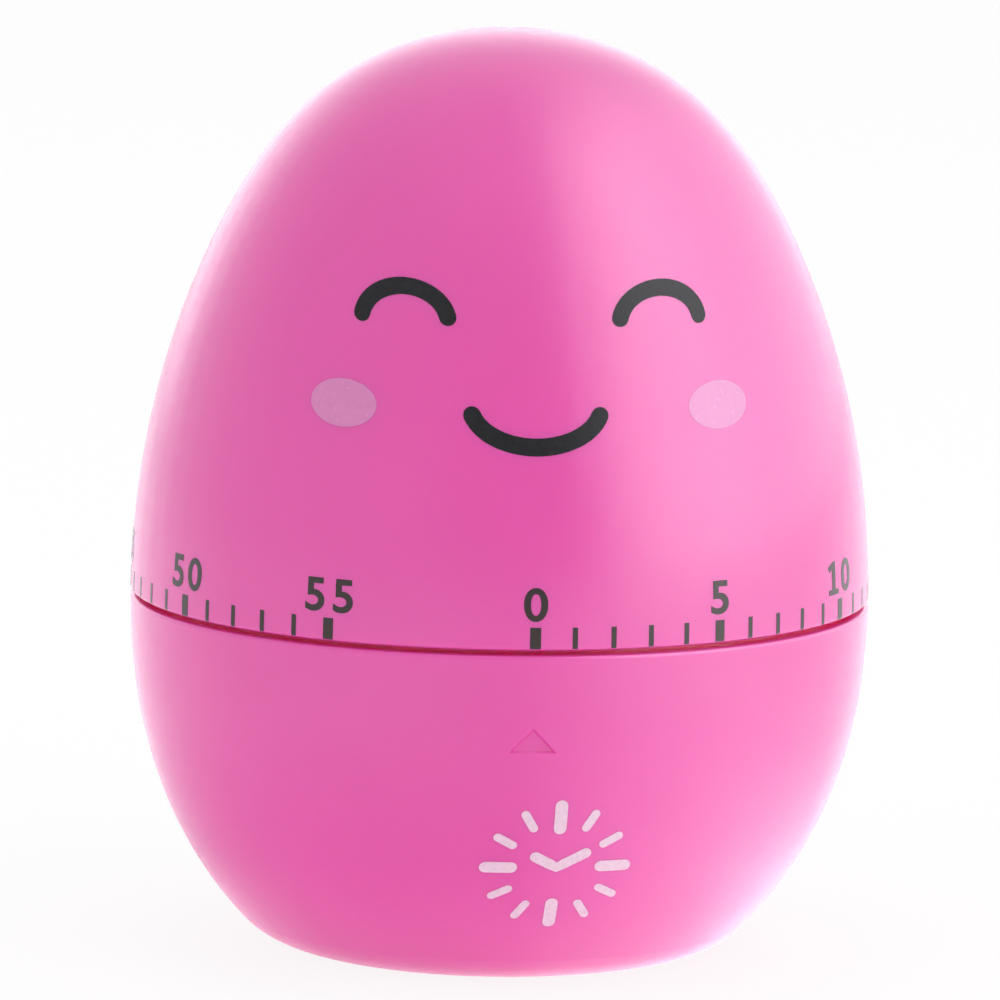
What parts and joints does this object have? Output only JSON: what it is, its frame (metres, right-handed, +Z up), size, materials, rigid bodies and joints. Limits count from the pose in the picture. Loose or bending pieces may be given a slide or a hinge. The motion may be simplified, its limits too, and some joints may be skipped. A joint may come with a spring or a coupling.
{
  "type": "kitchen timer",
  "caption": "Egg-shaped wind-up kitchen timer: glossy two-part plastic body with a minute scale, a turning upper half, a clockwork train, a hammer and a bell inside.",
  "frame": {"origin": "centre of the flat foot, on the surface the timer stands on", "axes": "+Z up along the axis the upper half turns on, -Y through the zero mark and the index at the front"},
  "size_m": [0.06, 0.06, 0.0746],
  "materials": {
    "dial_plastic": "glossy moulded",
    "base_plastic": "glossy moulded",
    "screw_steel": "zinc plated",
    "plate_steel": "rolled",
    "staff_steel": "turned",
    "spring_steel": "blued",
    "bell_steel": "plated",
    "turned_brass": "turned",
    "wheel_brass": "stamped"
  },
  "bodies": {
    "base": {"lower_shell": "base_plastic", "movement_screws": "screw_steel", "bottom_plate": "plate_steel", "top_plate": "plate_steel", "plate_pillars": "turned_brass", "pillar_nuts": "screw_steel", "stop_pin": "staff_steel", "bell": "bell_steel", "bell_post": "turned_brass", "bell_nut": "screw_steel", "lever_pin": "staff_steel", "mainspring": "spring_steel"},
    "dial": {"upper_shell": "dial_plastic", "main_arbor": "staff_steel", "clutch_spring": "spring_steel", "arbor_clip": "spring_steel", "trip_cam": "wheel_brass"},
    "great": {"great_wheel": "wheel_brass"},
    "second": {"second_pinion": "staff_steel", "second_wheel": "wheel_brass"},
    "third": {"third_pinion": "staff_steel", "third_wheel": "wheel_brass"},
    "escape": {"escape_pinion": "staff_steel", "escape_wheel": "wheel_brass"},
    "balance": {"verge": "staff_steel", "balance_wheel": "wheel_brass"},
    "strike": {"strike_wheel": "wheel_brass", "spring_post": "staff_steel"},
    "star": {"star_pinion": "staff_steel", "star_wheel": "staff_steel"},
    "hammer": {"hammer_staff": "staff_steel", "hammer_arm": "plate_steel", "hammer_head": "turned_brass"},
    "trip": {"trip_lever": "plate_steel"}
  },
  "joints": [
    {"name": "dial_turn", "type": "hinge", "parent": "base", "child": "dial", "pos_m": [0, 0, 0], "axis": [0, 0, -1], "range_deg": [0, 335], "deforming": ["mainspring"]},
    {"name": "great_wheel_turn", "type": "hinge", "parent": "base", "child": "great", "pos_m": [0, 0, 0], "axis": [0, 0, -1], "continuous": true},
    {"name": "second_wheel_turn", "type": "hinge", "parent": "base", "child": "second", "pos_m": [0.0108, 0, 0], "axis": [0, 0, -1], "continuous": true},
    {"name": "third_wheel_turn", "type": "hinge", "parent": "base", "child": "third", "pos_m": [0.00789, 0.00799, 0], "axis": [0, 0, -1], "continuous": true},
    {"name": "escape_wheel_turn", "type": "hinge", "parent": "base", "child": "escape", "pos_m": [0.00118, 0.01186, 0], "axis": [0, 0, -1], "continuous": true},
    {"name": "verge_rock", "type": "hinge", "parent": "base", "child": "balance", "pos_m": [-0.00492, 0.01079, 0], "axis": [0, 0, 1], "range_deg": [-6, 6]},
    {"name": "strike_wheel_turn", "type": "hinge", "parent": "base", "child": "strike", "pos_m": [0, 0, 0], "axis": [0, 0, 1], "continuous": true},
    {"name": "star_wheel_turn", "type": "hinge", "parent": "base", "child": "star", "pos_m": [-0.01015, -0.00369, 0], "axis": [0, 0, 1], "continuous": true},
    {"name": "hammer_rock", "type": "hinge", "parent": "base", "child": "hammer", "pos_m": [-0.01411, -0.00765, 0], "axis": [0, 0, 1], "range_deg": [-5, 5]},
    {"name": "trip_lever_rock", "type": "hinge", "parent": "base", "child": "trip", "pos_m": [0.007, -0.0076, 0], "axis": [0, 0, 1], "range_deg": [-4, 0]}
  ],
  "couplings": [
    {"joint": "great_wheel_turn", "follows": "dial_turn", "ratio": 1},
    {"joint": "second_wheel_turn", "follows": "dial_turn", "ratio": -8},
    {"joint": "third_wheel_turn", "follows": "dial_turn", "ratio": 60},
    {"joint": "escape_wheel_turn", "follows": "dial_turn", "ratio": -405},
    {"joint": "star_wheel_turn", "follows": "strike_wheel_turn", "ratio": -8}
  ]
}
